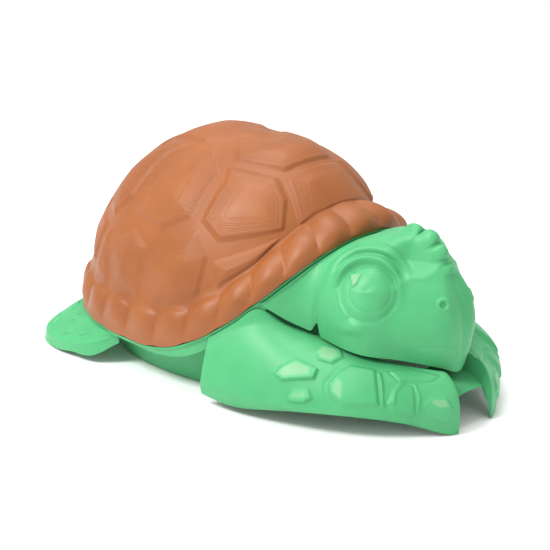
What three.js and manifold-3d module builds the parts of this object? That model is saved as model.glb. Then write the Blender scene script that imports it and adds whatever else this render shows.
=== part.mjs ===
// Covered sandbox in the form of a sea turtle: tub, cover, head, front apron with both front
// flippers, two rear flippers and the screws that hold the green mouldings to the tub.
// Units mm, +Z up, the head looks along -Y, ground at z = 0.
import * as THREE from 'three';
import { mergeVertices } from 'three/addons/utils/BufferGeometryUtils.js';
import Module from 'manifold-3d';

const wasm = await Module();
wasm.setup();
const { Manifold } = wasm;

// Driving dimensions
const WALL = 4;                 // moulded wall thickness
const RIM_HALF_WIDTH = 380;     // half width of the cover's lower edge, seen from above
const RIM_HALF_LENGTH = 430;    // half length of the same edge
const RIM_CENTRE_Y = 170;
const RIM_POWER = 2.3;          // superellipse power of the rim outline
const RIM_REAR_Z = 100;         // height of the cover's lower edge over the rear half
const RIM_RISE = 295;           // extra height of that edge over the neck
const RIM_RISE_POWER = 1.9;
const DOME_HEIGHT = 571;        // outside top of the cover
const DOME_TOP_Y = 193;
const SKIRT_INSET = 8;          // tub skirt, measured inward from the rim outline
const SKIRT_DROP_FRONT = 38;    // how far the skirt hangs below the cover's edge
const SKIRT_DROP_SIDE = 12;
const SKIRT_DROP_REAR = 22;
const BASIN_INSET = 88;         // foot of the basin wall, measured inward
const FRONT_HALF_GAP = 59;      // half of the gap between the two front flipper tips
const SCREW_HEAD_R = 6;
const SCREW_R = 2.5;
const RING = 48;                // facets round the rim

const HALF_PI = Math.PI / 2;
const clamp = (v, a, b) => Math.min(Math.max(v, a), b);
const mix = (a, b, w) => a + (b - a) * w;
const signedPow = (v, p) => Math.sign(v) * Math.abs(v) ** p;
const smooth = (a, b, x) => {
  const w = clamp((x - a) / (b - a), 0, 1);
  return w * w * (3 - 2 * w);
};

// Rim outline: angle 0 looks at the head (-Y), +90 degrees is +X.
function outline(angle, inset) {
  const p = 2 / RIM_POWER;
  return [
    (RIM_HALF_WIDTH - inset) * signedPow(Math.sin(angle), p),
    RIM_CENTRE_Y - (RIM_HALF_LENGTH - inset) * signedPow(Math.cos(angle), p),
  ];
}

function rimHeight(angle) {
  return RIM_REAR_Z + RIM_RISE * Math.max(0, Math.cos(angle)) ** RIM_RISE_POWER;
}

function rimPoint(angle, inset, above) {
  const [x, y] = outline(angle, inset);
  return [x, y, rimHeight(angle) + above];
}

// The skirt is deep where the apron and the head hang on it, and shallow beside the flippers.
function skirtDrop(angle) {
  const c = Math.cos(angle);
  return SKIRT_DROP_SIDE
    + (SKIRT_DROP_FRONT - SKIRT_DROP_SIDE) * smooth(-0.05, 0.42, c)
    + (SKIRT_DROP_REAR - SKIRT_DROP_SIDE) * smooth(0.12, 0.26, -c);
}

// Smooth curve through a few points, w from 0 to 1. A curve that starts on the middle plane
// and goes on mirrored behind its start leaves that plane squarely.
function through(points, w, mirroredStart = false) {
  const last = points.length - 1;
  const at = clamp(w, 0, 1) * last;
  const i = Math.min(Math.floor(at), last - 1);
  const f = at - i;
  const b = points[i];
  const c = points[i + 1];
  const behind = mirroredStart ? [-c[0], c[1], c[2]] : b.map((v, k) => 2 * v - c[k]);
  const a = i > 0 ? points[i - 1] : behind;
  const d = i < last - 1 ? points[i + 2] : c.map((v, k) => 2 * v - b[k]);
  return b.map((v, k) => 0.5 * (2 * v + (c[k] - a[k]) * f
    + (2 * a[k] - 5 * v + 4 * c[k] - d[k]) * f ** 2
    + (3 * v - a[k] - 3 * c[k] + d[k]) * f ** 3));
}

// Triangles of a surface given by a grid function, with equal points welded.
function sheet(point, columns, rows) {
  const keys = new Map();
  const vertices = [];
  const grid = [];
  for (let j = 0; j <= rows; j += 1) {
    const line = [];
    for (let i = 0; i <= columns; i += 1) {
      const p = point(i / columns, j / rows);
      const key = p.map((v) => Math.round(v * 50)).join(',');
      if (!keys.has(key)) {
        keys.set(key, vertices.length);
        vertices.push(p);
      }
      line.push(keys.get(key));
    }
    grid.push(line);
  }
  const faces = [];
  const add = (a, b, c) => {
    if (a !== b && b !== c && a !== c) faces.push([a, b, c]);
  };
  for (let j = 0; j < rows; j += 1) {
    for (let i = 0; i < columns; i += 1) {
      add(grid[j][i], grid[j][i + 1], grid[j + 1][i + 1]);
      add(grid[j][i], grid[j + 1][i + 1], grid[j + 1][i]);
    }
  }
  return { vertices, faces };
}

// Closed solid between a surface and its copy moved back along the normals.
function thicken({ vertices, faces }) {
  const normals = vertices.map(() => new THREE.Vector3());
  const v = vertices.map((p) => new THREE.Vector3(...p));
  faces.forEach(([a, b, c]) => {
    const n = v[b].clone().sub(v[a]).cross(v[c].clone().sub(v[a]));
    [a, b, c].forEach((k) => normals[k].add(n));
  });
  normals.forEach((n) => n.normalize());
  const count = v.length;
  const all = [
    ...v,
    ...v.map((p, k) => p.clone().addScaledVector(normals[k], -WALL)),
  ];
  const triangles = [];
  const edges = new Set();
  faces.forEach(([a, b, c]) => {
    triangles.push([a, b, c], [a + count, c + count, b + count]);
    [[a, b], [b, c], [c, a]].forEach(([p, q]) => edges.add(`${p},${q}`));
  });
  edges.forEach((edge) => {
    const [p, q] = edge.split(',').map(Number);
    if (!edges.has(`${q},${p}`)) {
      triangles.push([p, p + count, q + count], [p, q + count, q]);
    }
  });
  return solid(all.map((p) => [p.x, p.y, p.z]), triangles);
}

function solid(vertices, triangles) {
  const made = new Manifold(new wasm.Mesh({
    numProp: 3,
    vertProperties: new Float32Array(vertices.flat()),
    triVerts: new Uint32Array(triangles.flat()),
  }));
  return made.volume() < 0 ? solid(vertices, triangles.map(([a, b, c]) => [a, c, b])) : made;
}

// Closed solid from a closed section profile carried round the rim. Each profile entry gives
// the inset and a height function of the angle; the first and last entries are poles.
function ringSolid(profile, facets) {
  const vertices = [];
  const rings = profile.map(([inset, height], k) => {
    const pole = k === 0 || k === profile.length - 1;
    const ring = [];
    for (let i = 0; i < (pole ? 1 : facets); i += 1) {
      const angle = (2 * Math.PI * i) / facets;
      const [x, y] = pole ? [0, RIM_CENTRE_Y] : outline(angle, inset);
      ring.push(vertices.push([x, y, height(angle)]) - 1);
    }
    return ring;
  });
  const triangles = [];
  for (let k = 0; k + 1 < rings.length; k += 1) {
    const low = rings[k];
    const high = rings[k + 1];
    for (let i = 0; i < facets; i += 1) {
      const a = low[i % low.length];
      const b = low[(i + 1) % low.length];
      const c = high[(i + 1) % high.length];
      const d = high[i % high.length];
      if (a !== b) triangles.push([a, b, c]);
      if (c !== d) triangles.push([a, c, d]);
    }
  }
  return solid(vertices, triangles);
}

const group = new THREE.Group();

function addPiece(name, body, material) {
  const mesh = body.getMesh();
  const geometry = new THREE.BufferGeometry();
  geometry.setAttribute('position', new THREE.BufferAttribute(new Float32Array(mesh.vertProperties), 3));
  geometry.setIndex(new THREE.BufferAttribute(new Uint32Array(mesh.triVerts), 1));
  geometry.computeVertexNormals();
  const piece = new THREE.Mesh(geometry, material);
  piece.name = name;
  group.add(piece);
}

const GREEN = new THREE.MeshStandardMaterial({ color: 0x6fcf97, roughness: 0.45, metalness: 0 });
const BROWN = new THREE.MeshStandardMaterial({ color: 0xc47f52, roughness: 0.45, metalness: 0 });

// Tub: skirt, lip under the cover's edge, seat flange, basin wall and flat floor.
const above = (h) => (angle) => rimHeight(angle) + h;
const level = (h) => () => h;
const skirtEdge = (angle) => rimHeight(angle) - skirtDrop(angle);
const LIP_TOP = -0.6;
const tubProfile = [
  [0, level(WALL)],
  [BASIN_INSET + 14, level(WALL)],
  [BASIN_INSET + 6, level(WALL + 2)],
  [BASIN_INSET, level(WALL + 10)],
  [64, above(2)],
  [60, above(6)],
  [19, above(6)],
  [15, above(4)],
  [15, above(LIP_TOP)],
  [2, above(LIP_TOP)],
  [2, above(LIP_TOP - 4.5)],
  [SKIRT_INSET, above(LIP_TOP - 6)],
  [SKIRT_INSET, skirtEdge],
  [SKIRT_INSET + WALL, skirtEdge],
  [SKIRT_INSET + WALL, above(-9)],
  [19, above(-5)],
  [21, above(2)],
  [57, above(2)],
  [59.5, above(0)],
  [BASIN_INSET - WALL, level(8)],
  [BASIN_INSET, level(2)],
  [BASIN_INSET + 6, level(0)],
  [0, level(0)],
];

// Filled space that the green mouldings have to stay out of: the skirt and all inside it.
const tubSpace = ringSolid([
  [0, above(-440)],
  [SKIRT_INSET - 1, above(-440)],
  [SKIRT_INSET - 1, above(LIP_TOP - 6.5)],
  [0.5, above(LIP_TOP - 5.8)],
  [-2.5, above(-3)],
  [-2.5, above(120)],
  [0, level(900)],
], RING);

// Space below the cover's seat on the tub's lip.
const underCover = ringSolid([
  [0, level(-390)],
  [40, above(0)],
  [15, above(0)],
  [2, above(0)],
  [-40, above(0)],
  [-40, level(-400)],
  [0, level(-400)],
], RING);

// Frame on the outside of a skirt facet: X outward, Y along the rim, Z up.
function onSkirt(facet, below) {
  const step = (2 * Math.PI) / RING;
  const from = rimPoint(facet * step, SKIRT_INSET, -below);
  const to = rimPoint((facet + 1) * step, SKIRT_INSET, -below);
  const heading = Math.atan2(to[1] - from[1], to[0] - from[0]) - HALF_PI;
  const [x, y, z] = from.map((v, k) => (v + to[k]) / 2);
  return new THREE.Matrix4().makeTranslation(x, y, z)
    .multiply(new THREE.Matrix4().makeRotationZ(heading));
}

// Pan-head screw from inside the skirt, through skirt and tab, drawn along +X.
const SHANK_END = 8;
const HEAD_SEAT = -WALL - 0.6;
const screwProfile = [
  [0, HEAD_SEAT - 3],
  [SCREW_HEAD_R * 0.7, HEAD_SEAT - 2.6],
  [SCREW_HEAD_R, HEAD_SEAT - 1],
  [SCREW_HEAD_R, HEAD_SEAT],
  [SCREW_R, HEAD_SEAT],
  [SCREW_R, SHANK_END - 3],
  [0, SHANK_END],
].map(([radius, along]) => new THREE.Vector2(radius, along));
const screwGeometry = new THREE.LatheGeometry(screwProfile, 10).rotateZ(-HALF_PI);

// Hole through the skirt, ending inside the tab.
const holeGeometry = new THREE.CylinderGeometry(SCREW_R + 0.5, SCREW_R + 0.5, 14, 10)
  .rotateZ(-HALF_PI)
  .translate(1.5, 0, 0);

// Tab behind the edge of a green moulding, flat against the skirt and sloped as the rim is.
const frontTab = new THREE.BoxGeometry(14, 24, 22).translate(2, 0, 0);
const flipperTab = new THREE.BoxGeometry(14, 24, 14).translate(2, 0, 0);
function tabPlace(facet, below) {
  const step = (2 * Math.PI) / RING;
  const from = rimPoint(facet * step, SKIRT_INSET, 0);
  const to = rimPoint((facet + 1) * step, SKIRT_INSET, 0);
  const slope = (to[2] - from[2]) / Math.hypot(to[0] - from[0], to[1] - from[1]);
  return onSkirt(facet, below).multiply(new THREE.Matrix4().set(
    1, 0, 0, 0,
    0, 1, 0, 0,
    0, slope, 1, 0,
    0, 0, 0, 1,
  ));
}

function fromGeometry(geometry, matrix) {
  const plain = geometry.clone().applyMatrix4(matrix);
  plain.deleteAttribute('normal');
  plain.deleteAttribute('uv');
  const merged = mergeVertices(plain, 1e-3);
  return new Manifold(new wasm.Mesh({
    numProp: 3,
    vertProperties: merged.getAttribute('position').array,
    triVerts: new Uint32Array(merged.index.array),
  }));
}

const degrees = THREE.MathUtils.degToRad;
const mirrored = (facet) => RING - 1 - facet;
// Skirt facets that carry a screw on the +X side; the -X side mirrors them.
const screws = [
  { name: 'apron_front', piece: 'apron', facet: 6, below: 28 },
  { name: 'apron_rear', piece: 'apron', facet: 7, below: 28 },
  { name: 'head_lower', piece: 'head', facet: 4, below: 26 },
  { name: 'head_upper', piece: 'head', facet: 1, below: 26 },
  { name: 'rear_flipper_front', piece: 'flipper', facet: 15, below: 15 },
  { name: 'rear_flipper_back', piece: 'flipper', facet: 17, below: 15 },
];

// Cover: one dome-shaped shell with a rounded band along its lower edge.
const BAND = 2 / 7;
function coverPoint(u, v) {
  const angle = 2 * Math.PI * u;
  const front = Math.max(0, Math.cos(angle)) ** 2;
  const bandHeight = mix(88, 53, front);
  const bandInset = mix(24, 92, front);
  const [x0, y0] = outline(angle, 0);
  const [x1, y1] = outline(angle, bandInset);
  const z0 = rimHeight(angle);
  if (v <= BAND) {
    const a = (v / BAND) * HALF_PI;
    const m = 1 - Math.cos(a);
    return [mix(x0, x1, m), mix(y0, y1, m), z0 + bandHeight * Math.sin(a)];
  }
  const a = ((v - BAND) / (1 - BAND)) * HALF_PI;
  const r = Math.max(0, Math.cos(a)) ** mix(0.94, 0.5, front);
  const h = v === 1 ? 1 : Math.sin(a) ** mix(1.18, 2.07, front);
  const s = v === 1 ? 0 : r;
  return [x1 * s, mix(DOME_TOP_Y, y1, s), mix(z0 + bandHeight, DOME_HEIGHT, h)];
}

// Front apron: both front flippers and the bridge between them, one moulding, open below.
const APRON_A = 356;
const APRON_B = 506.4;
const APRON_Y = -92;
const APRON_POWER = 1.7;
const APRON_BACK = 32;          // how far its rear corner reaches back along the tub
const TIP_PUSH = 12;            // how far the flipper tips reach ahead of that curve
const LEDGE = 38;               // width of the ledge that closes the gap under the chin
function apronGround(t) {
  const tip = Math.acos((FRONT_HALF_GAP / APRON_A) ** (APRON_POWER / 2));
  const a = t * tip;
  const arch = 50 * Math.sin(Math.PI * clamp((t - 0.06) / 0.9, 0, 1));
  const rear = clamp(1 - t / 0.11, 0, 1) ** 2;
  return [
    APRON_A * Math.cos(a) ** (2 / APRON_POWER) + 6 * rear,
    APRON_Y - APRON_B * Math.sin(a) ** (2 / APRON_POWER) + APRON_BACK * rear,
    arch + 26 * rear ** 1.5,
  ];
}
const apronTop = [
  rimPoint(degrees(61.5), SKIRT_INSET, -10),
  rimPoint(degrees(52), SKIRT_INSET, -12),
  rimPoint(degrees(43), SKIRT_INSET, -18),
  [214, -200, 202],
  [172, -270, 180],
  [160, -370, 168],
  [130, -425, 154],
  [92, -478, 142],
  [FRONT_HALF_GAP, -548, 141],
];
function apronSide(t, v) {
  if (v > 1) {
    const edge = apronSide(t, 1);
    const [gx, gy] = apronGround(t);
    const away = LEDGE * smooth(0.35, 0.5, t) / Math.hypot(gx - edge[0], gy - edge[1]);
    return [
      edge[0] - (gx - edge[0]) * away,
      edge[1] - (gy - edge[1]) * away,
      edge[2] - 12 * smooth(0.35, 0.5, t),
    ];
  }
  const push = TIP_PUSH * smooth(0.78, 1, t) * (1 - 0.6 * v);
  const g = apronGround(t);
  const top = through(apronTop, t);
  const reach = Math.hypot(g[0] - top[0], g[1] - top[1]);
  const dx = (g[0] - top[0]) / reach;
  const dy = (g[1] - top[1]) / reach;
  const bulge = 12 + 24 * Math.sin(Math.PI * t) ** 0.8 * (1 - 0.3 * t);
  const waist = 62;
  const low = 0.3;
  if (v < low) {
    const a = (v / low) * HALF_PI;
    const b = bulge * mix(Math.sin(a), 1, 0.7 * smooth(0.78, 0.92, t));
    return [
      g[0] + dx * b,
      g[1] + dy * b - push,
      mix(g[2], Math.max(waist, g[2] + 12), 1 - Math.cos(a)),
    ];
  }
  const a = ((v - low) / (1 - low)) * HALF_PI;
  const straight = 0.8 * (1 - smooth(0.12, 0.5, t));
  const ramp = (v - low) / (1 - low);
  const c = mix(Math.cos(a) ** 1.1, 1 - ramp, straight);
  const k = mix(Math.sin(a) ** 1.1, ramp, straight);
  return [
    mix(top[0], g[0] + dx * bulge, c),
    mix(top[1], g[1] + dy * bulge, c) - push,
    mix(Math.max(waist, g[2] + 12), top[2], k),
  ];
}
function bridgePoint(x, v) {
  const rise = 75 + 8 * (1 - (x / FRONT_HALF_GAP) ** 2);
  return [x, mix(-582, -462, v ** 1.5), mix(rise, 108, Math.sin(v * HALF_PI))];
}
const SIDE_COLUMNS = 16;
const BRIDGE_COLUMNS = 2;
const APRON_COLUMNS = 2 * SIDE_COLUMNS + BRIDGE_COLUMNS + 2;
const APRON_ROWS = 9;
function apronPoint(u, row) {
  const v = row * (APRON_ROWS / (APRON_ROWS - 1));
  const i = Math.round(u * APRON_COLUMNS);
  if (i <= SIDE_COLUMNS) return apronSide(i / SIDE_COLUMNS, v);
  const j = APRON_COLUMNS - i;
  if (j <= SIDE_COLUMNS) {
    const p = apronSide(j / SIDE_COLUMNS, v);
    return [-p[0], p[1], p[2]];
  }
  const w = (i - SIDE_COLUMNS - 1) / BRIDGE_COLUMNS;
  return bridgePoint((FRONT_HALF_GAP - 2) * (1 - 2 * w), Math.min(v, 1));
}

// Head with its neck cowl: one hollow moulding open below, trimmed to the tub's skirt.
const headEdge = [
  [0, -550, 123],
  [47, -532, 140],
  [116, -466, 160],
  [172, -420, 172],
  [192, -372, 179],
  [188, -304, 183],
  [188, -262, 190],
  [200, -232, 196],
  [232, -204, 226],
  [262, -158, 262],
];
const headRidge = [
  [0, -446, 430],
  [0, -440, 432],
  [0, -425, 434],
  [0, -405, 433],
  [0, -385, 430],
  [0, -345, 422],
  [0, -310, 412],
  [0, -285, 402],
  [0, -268, 394],
  [0, -252, 386],
];
function headPoint(u, v) {
  const side = u < 0.5 ? 1 : -1;
  const t = Math.abs(2 * u - 1);
  const edge = through(headEdge, t, true);
  const ridge = through(headRidge, t, true);
  const a = v * HALF_PI;
  const fullness = mix(1, 0.86, smooth(0.1, 0.4, t));
  const c = v === 1 ? 0 : Math.cos(a) ** fullness;
  const k = v === 1 ? 1 : Math.sin(a) ** fullness;
  const reach = Math.hypot(edge[0], edge[1] - ridge[1]);
  const jowl = 14 + 17 * smooth(-0.05, 0.11, t) * (1 - smooth(0.11, 0.32, t));
  const cheek = jowl * Math.sin(Math.PI * clamp(v * 1.6, 0, 1)) * (1 - smooth(0.55, 0.75, t));
  let x = edge[0] * c + (cheek * edge[0]) / reach;
  let y = mix(ridge[1], edge[1], c) + (cheek * (edge[1] - ridge[1])) / reach;
  let z = mix(edge[2], ridge[2], k);
  const cowl = smooth(0.58, 1, t);
  const rear = rimPoint(degrees(42) * (1 - v), SKIRT_INSET - 4, -13);
  x = mix(x, rear[0], cowl);
  y = mix(y, rear[1], cowl);
  z = mix(z, rear[2], cowl);
  return [side * x, y, z];
}

// Rear flipper on the +X side: sloping top, low side skirt, open below.
const flipperLow = [
  [352, 262, 62],
  [392, 322, 22],
  [402, 392, 16],
  [400, 455, 6],
  [384, 520, 4],
  [352, 556, 12],
  [306, 538, 40],
  [250, 498, 60],
];
const flipperBrow = [
  [352, 262, 84],
  [389, 322, 56],
  [398, 392, 36],
  [395, 455, 28],
  [379, 517, 26],
  [349, 551, 36],
  [304, 532, 66],
  [252, 494, 84],
];
function flipperPoint(u, v, side) {
  const low = through(flipperLow, u);
  const brow = through(flipperBrow, u);
  const top = rimPoint(degrees(mix(101, 145, u)), SKIRT_INSET + 2, -8);
  const w = Math.max(0, (v - 0.25) / 0.75);
  const p = v < 0.25
    ? low.map((value, k) => mix(value, brow[k], v / 0.25))
    : brow.map((value, k) => mix(value, top[k], w));
  return [side * p[0], p[1], p[2] + 7 * Math.sin(Math.PI * w)];
}

// Largest body of a cut moulding, clear of the tub and of the ground.
const ground = fromGeometry(new THREE.BoxGeometry(2000, 2000, 200), new THREE.Matrix4()
  .makeTranslation(0, 0, -100));
function trimmed(body, holes) {
  let cut = body.subtract(tubSpace).subtract(ground);
  holes.forEach((hole) => {
    cut = cut.subtract(hole);
  });
  return cut.decompose().reduce((a, b) => (a.volume() > b.volume() ? a : b));
}

// Places of the screws of one moulding, on one side or on both.
function places(wanted, sides, place) {
  return screws.filter(({ piece }) => piece === wanted).flatMap(({ facet, below }) => (
    sides.map((side) => place(side > 0 ? facet : mirrored(facet), below))
  ));
}

function moulding(surface, wanted, sides) {
  let body = thicken(surface);
  places(wanted, sides, tabPlace).forEach((m) => {
    body = body.add(fromGeometry(wanted === 'flipper' ? flipperTab : frontTab, m));
  });
  return trimmed(body, places(wanted, sides, onSkirt).map((m) => fromGeometry(holeGeometry, m)));
}

let tub = ringSolid(tubProfile, RING);
['apron', 'head', 'flipper'].forEach((wanted) => {
  places(wanted, [1, -1], onSkirt).forEach((m) => {
    tub = tub.subtract(fromGeometry(holeGeometry, m));
  });
});

addPiece('tub', tub, GREEN);
addPiece('cover', thicken(sheet(coverPoint, RING, 14)).subtract(underCover), BROWN);
addPiece('front_apron', moulding(sheet(apronPoint, APRON_COLUMNS, APRON_ROWS), 'apron', [1, -1]), GREEN);
addPiece('head', moulding(sheet(headPoint, 36, 12), 'head', [1, -1]), GREEN);
[['left', 1], ['right', -1]].forEach(([name, side]) => {
  const surface = sheet((u, v) => flipperPoint(side > 0 ? u : 1 - u, v, side), 14, 8);
  addPiece(`rear_flipper_${name}`, moulding(surface, 'flipper', [side]), GREEN);
});

const STEEL = new THREE.MeshStandardMaterial({ color: 0x9aa0a6, roughness: 0.35, metalness: 0.9 });
screws.forEach(({ name, facet, below }) => {
  [['left', facet], ['right', mirrored(facet)]].forEach(([side, k]) => {
    const screw = new THREE.Mesh(screwGeometry, STEEL);
    screw.applyMatrix4(onSkirt(k, below));
    screw.name = `screw_${name}_${side}`;
    group.add(screw);
  });
});

export default group;
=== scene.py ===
# Covered sandbox in the form of a sea turtle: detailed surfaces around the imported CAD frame.
# Shapes are worked out in millimetres in the CAD frame and written to Blender in metres.
import math

import bmesh
import bpy
import numpy as np
from mathutils import Matrix, Vector


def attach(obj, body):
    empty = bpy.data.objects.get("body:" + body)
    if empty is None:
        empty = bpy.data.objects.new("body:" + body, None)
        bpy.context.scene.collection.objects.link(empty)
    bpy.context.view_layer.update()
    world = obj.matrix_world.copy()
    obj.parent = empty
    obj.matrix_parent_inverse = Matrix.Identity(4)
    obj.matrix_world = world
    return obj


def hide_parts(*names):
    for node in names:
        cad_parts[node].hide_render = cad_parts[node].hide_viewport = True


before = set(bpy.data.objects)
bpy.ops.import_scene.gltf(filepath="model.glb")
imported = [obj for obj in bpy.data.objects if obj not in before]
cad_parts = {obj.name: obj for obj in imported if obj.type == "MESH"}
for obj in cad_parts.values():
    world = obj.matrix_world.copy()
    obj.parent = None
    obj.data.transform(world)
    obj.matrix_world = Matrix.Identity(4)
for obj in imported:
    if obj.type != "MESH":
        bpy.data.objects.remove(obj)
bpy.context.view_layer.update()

PI = math.pi
MM = 0.001
WALL = 3.4
FAR = 1e9
MIRROR = np.array([-1, 1, 1])

# Rim of the cover and the tub, as in the CAD
RIM_HALF_WIDTH = 380
RIM_HALF_LENGTH = 430
RIM_CENTRE_Y = 170
RIM_POWER = 2.3
RIM_REAR_Z = 100
RIM_RISE = 295
RIM_RISE_POWER = 1.9
SKIRT_INSET = 8
SKIRT_DROP_SIDE = 12
SKIRT_EXTRA_FRONT = 26
SKIRT_EXTRA_REAR = 10
DOME_TOP_Y = 193
DOME_TOP_Z = 571
BAND = 2 / 7    # v at which the cover's rim band ends
EDGE_BEVEL = 0.0012
FINE_BEVEL = 0.0008


# ---------------------------------------------------------------- shape helpers
def mix(a, b, w):
    return a + (b - a) * w


def smooth(a, b, x):
    w = np.clip((x - a) / (b - a), 0, 1)
    return w * w * (3 - 2 * w)


def hump(x, centre, width):
    return np.exp(-(((x - centre) / width) ** 2))


def signed_pow(v, p):
    return np.sign(v) * np.abs(v) ** p


def outline(angle, inset):
    """Rim seen from above: angle 0 looks along -Y, +90 degrees along +X."""
    p = 2 / RIM_POWER
    x = (RIM_HALF_WIDTH - inset) * signed_pow(np.sin(angle), p)
    y = RIM_CENTRE_Y - (RIM_HALF_LENGTH - inset) * signed_pow(np.cos(angle), p)
    return x, y


def rim_height(angle):
    return RIM_REAR_Z + RIM_RISE * np.maximum(0, np.cos(angle)) ** RIM_RISE_POWER


def skirt_drop(angle):
    """How far the tub's skirt hangs below the cover's edge."""
    c = np.cos(angle)
    front = SKIRT_EXTRA_FRONT * smooth(-0.05, 0.42, c)
    rear = SKIRT_EXTRA_REAR * smooth(0.12, 0.26, -c)
    return SKIRT_DROP_SIDE + front + rear


def rim_point(degrees, inset, above):
    """Point beside the rim, inset towards the middle and raised above its edge."""
    angle = np.radians(degrees)
    x, y = outline(angle, inset)
    return np.stack([x, y, rim_height(angle) + above], -1)


def through(points, w, mirrored_start=False):
    """Smooth curve through a few points, w from 0 to 1."""
    points = np.asarray(points, float)
    last = len(points) - 1
    at = np.clip(w, 0, 1) * last
    i = np.minimum(at.astype(int), last - 1)
    f = (at - i)[..., None]
    behind = points[1] * MIRROR if mirrored_start else 2 * points[0] - points[1]
    b = points[i]
    c = points[i + 1]
    a = np.where((i > 0)[..., None], points[np.maximum(i - 1, 0)], behind)
    d = np.where((i < last - 1)[..., None], points[np.minimum(i + 2, last)], 2 * c - b)
    return 0.5 * (
        2 * b
        + (c - a) * f
        + (2 * a - 5 * b + 4 * c - d) * f**2
        + (3 * b - a - 3 * c + d) * f**3
    )


def unit(v):
    return v / np.maximum(np.linalg.norm(v, axis=-1, keepdims=True), 1e-9)


def grid_normals(p, closed=False):
    """Outward normals of a grid of points. closed joins its last column to the first."""
    du = np.roll(p, -1, 1) - np.roll(p, 1, 1) if closed else np.gradient(p, axis=1)
    dv = np.gradient(p, axis=0)
    n = np.cross(du, dv)
    weak = np.linalg.norm(n, axis=2) < 1e-6
    n = unit(n)
    for row in np.where(weak.any(1))[0]:
        near = row - 1 if row > 0 else 1
        n[row][weak[row]] = n[near][weak[row]]
    centre = p.reshape(-1, 3).mean(0)
    if ((p - centre) * n).sum() < 0:
        n = -n
    return n


def segment_squared(x, y, start, end):
    """Squared distance to a straight piece of a line."""
    (x0, y0), (x1, y1) = start, end
    ex, ey = x1 - x0, y1 - y0
    w = np.clip(((x - x0) * ex + (y - y0) * ey) / (ex * ex + ey * ey), 0, 1)
    return (x - x0 - w * ex) ** 2 + (y - y0 - w * ey) ** 2


def polygon_distance(x, y, corners):
    """Signed distance to a closed outline, positive inside."""
    corners = np.asarray(corners, float)
    best = np.full(x.shape, FAR)
    inside = np.zeros(x.shape, bool)
    for start, end in zip(corners, np.roll(corners, -1, 0)):
        best = np.minimum(best, segment_squared(x, y, start, end))
        (x0, y0), (x1, y1) = start, end
        if y0 != y1:
            crosses = ((y0 > y) != (y1 > y)) & (x < (x1 - x0) * (y - y0) / (y1 - y0) + x0)
            inside ^= crosses
    return np.where(inside, 1, -1) * np.sqrt(best)


def line_distance(x, y, points):
    best = np.full(x.shape, FAR)
    for start, end in zip(points, points[1:]):
        best = np.minimum(best, segment_squared(x, y, start, end))
    return np.sqrt(best)


# ---------------------------------------------------------------- mesh helpers
def finish_mesh(name, bm, sharp_degrees):
    """Turns a bmesh into a smooth shaded object and links it."""
    bmesh.ops.recalc_face_normals(bm, faces=bm.faces)
    mesh = bpy.data.meshes.new(name)
    bm.to_mesh(mesh)
    bm.free()
    mesh.polygons.foreach_set("use_smooth", [True] * len(mesh.polygons))
    mesh.set_sharp_from_angle(angle=math.radians(sharp_degrees))
    obj = bpy.data.objects.new(name, mesh)
    bpy.context.scene.collection.objects.link(obj)
    return obj


def shell(name, outer, inner, closed=False, pole=False, tag=None, extra=()):
    """Closed thin body between two grids of the same size.

    closed joins the last column to the first, and pole closes the top row to a point. tag is the
    name of a point attribute and its grid of values. extra lists boxes as (size, matrix) in metres.
    """
    rows, columns = outer.shape[:2]
    verts = np.concatenate([outer.reshape(-1, 3), inner.reshape(-1, 3)]) * MM
    count = rows * columns

    def at(j, i, side):
        return side * count + j * columns + i % columns

    steps = columns if closed else columns - 1
    faces = []
    for side in (0, 1):
        for j in range(rows - 1):
            for i in range(steps):
                quad = [
                    at(j, i, side), at(j, i + 1, side), at(j + 1, i + 1, side), at(j + 1, i, side),
                ]
                faces.append(quad if side == 0 else quad[::-1])
    top, end = rows - 1, columns - 1
    for i in range(steps):
        faces.append([at(0, i + 1, 0), at(0, i, 0), at(0, i, 1), at(0, i + 1, 1)])
        if not pole:
            faces.append([at(top, i, 0), at(top, i + 1, 0), at(top, i + 1, 1), at(top, i, 1)])
    if not closed:
        for j in range(rows - 1):
            faces.append([at(j, 0, 0), at(j + 1, 0, 0), at(j + 1, 0, 1), at(j, 0, 1)])
            faces.append([at(j + 1, end, 0), at(j, end, 0), at(j, end, 1), at(j + 1, end, 1)])
    mesh = bpy.data.meshes.new(name)
    mesh.from_pydata(verts.tolist(), [], faces)
    if tag is not None:
        layer = mesh.attributes.new(tag[0], "FLOAT", "POINT")
        layer.data.foreach_set("value", np.concatenate([tag[1].ravel()] * 2).astype(np.float32))
    bm = bmesh.new()
    bm.from_mesh(mesh)
    bpy.data.meshes.remove(mesh)
    bmesh.ops.remove_doubles(bm, verts=bm.verts, dist=0.00004)
    for box, matrix in extra:
        made = bmesh.ops.create_cube(bm, size=1, matrix=matrix @ Matrix.Diagonal((*box, 1)))
        edges = list({e for v in made["verts"] for e in v.link_edges})
        bmesh.ops.bevel(bm, geom=edges, offset=0.002, segments=3, affect="EDGES", profile=0.5)
    return finish_mesh(name, bm, 40)


def soft_edge(obj, width):
    bevel = obj.modifiers.new("edge", "BEVEL")
    bevel.width = width
    bevel.segments = 2
    bevel.limit_method = "ANGLE"
    bevel.angle_limit = math.radians(55)
    bevel.harden_normals = False


# ---------------------------------------------------------------- materials
def new_material(name):
    mat = bpy.data.materials.new(name)
    mat.use_nodes = True
    nodes = mat.node_tree.nodes
    return mat, nodes, mat.node_tree.links, nodes["Principled BSDF"]


def grey(level):
    return (level, level, level)


def noise(nodes, links, coords, scale, detail=3.0, roughness=0.5):
    node = nodes.new("ShaderNodeTexNoise")
    node.inputs["Scale"].default_value = scale
    node.inputs["Detail"].default_value = detail
    node.inputs["Roughness"].default_value = roughness
    links.new(coords, node.inputs["Vector"])
    return node.outputs["Fac"]


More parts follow.
